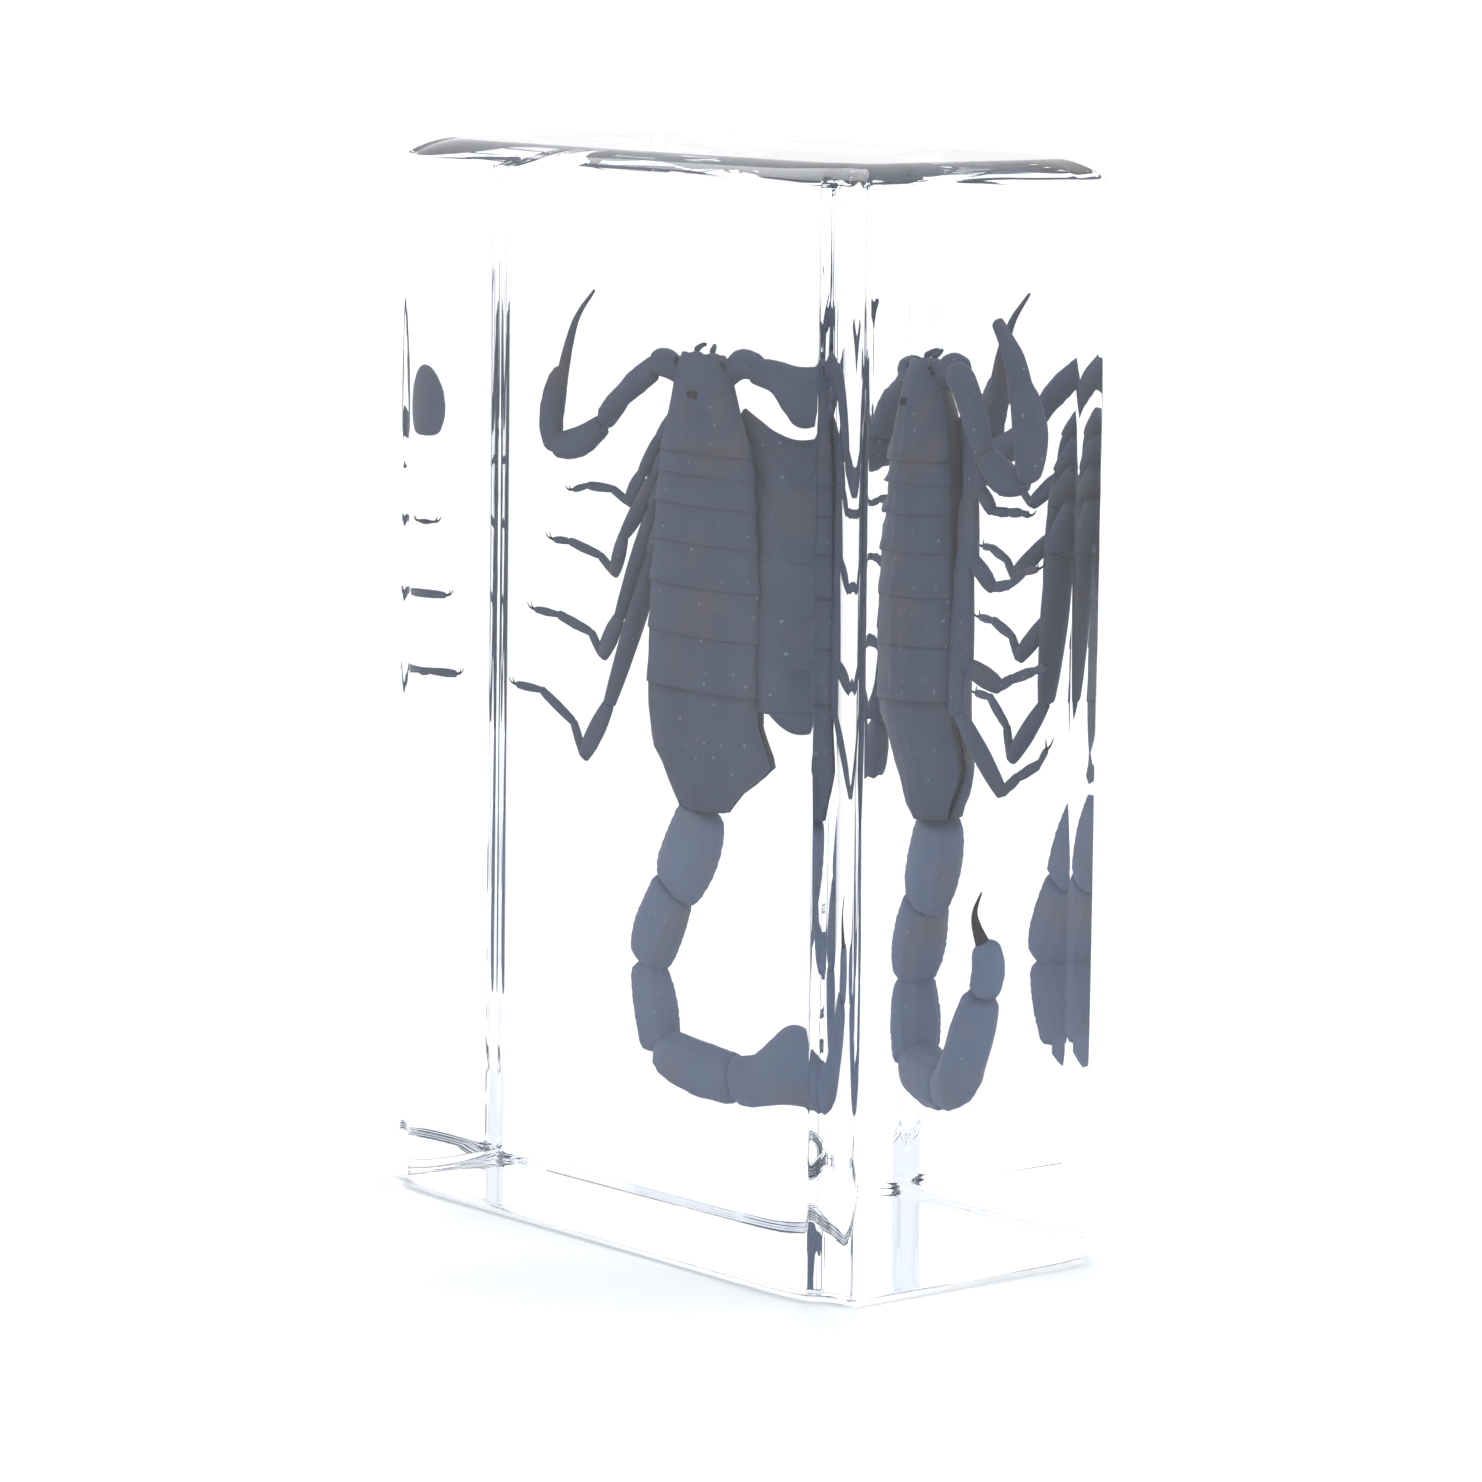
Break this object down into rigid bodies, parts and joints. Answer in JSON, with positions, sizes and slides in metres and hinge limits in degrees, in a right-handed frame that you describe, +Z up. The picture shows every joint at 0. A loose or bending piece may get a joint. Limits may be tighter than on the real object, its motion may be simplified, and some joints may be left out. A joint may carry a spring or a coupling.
{
  "type": "scorpion in resin block",
  "caption": "Clear cast resin desk block standing on its small end, with a dried scorpion sealed inside, for display on a shelf or desk.",
  "frame": {"origin": "middle of the base, on the surface that the block stands on", "axes": "+Z up along the block's height; -Y is the outward direction of the wide show face, with the scorpion's back towards it; +X to the right as the show face is seen"},
  "size_m": [0.0508, 0.0278, 0.075],
  "materials": {
    "clear_resin": "cast clear resin, polished to a high gloss, crisp edges beside the show face, a round corner on the left of the back and a long curve on its right",
    "scorpion_cuticle": "dark brown-black dried scorpion cuticle, satin, finely granular, with ridged keels on the tail",
    "scorpion_membrane": "paler soft skin between the plates and at the leg joints, dull",
    "scorpion_tips": "hard dark eyes, claws and sting, glossy"
  },
  "bodies": {
    "root": {"resin_block": "clear_resin"}
  },
  "joints": []
}
